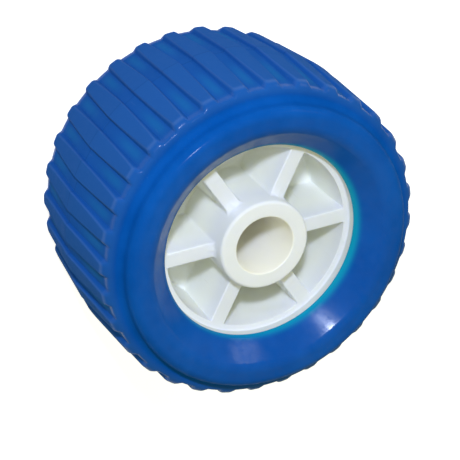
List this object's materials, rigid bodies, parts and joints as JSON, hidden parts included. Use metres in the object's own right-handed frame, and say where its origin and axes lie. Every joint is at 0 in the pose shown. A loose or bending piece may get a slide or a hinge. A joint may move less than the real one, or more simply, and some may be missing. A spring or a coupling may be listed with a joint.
{
  "type": "boat trailer roller",
  "caption": "Boat trailer roller: a ribbed blue tyre with a raised ring and dished recess at each end, moulded round a white spoked hub with a plain bore for an axle pin.",
  "frame": {"origin": "on the roller's axis, at the level of the end face that it stands on", "axes": "+Z along the axis, up through the bore; +X along the middle of one spoke"},
  "size_m": [0.12, 0.12, 0.077],
  "materials": {
    "hub": "white moulded plastic, satin",
    "tyre": "blue soft elastomer, semi-gloss and slightly translucent"
  },
  "bodies": {
    "root": {"hub": "hub", "tyre": "tyre"}
  },
  "joints": []
}
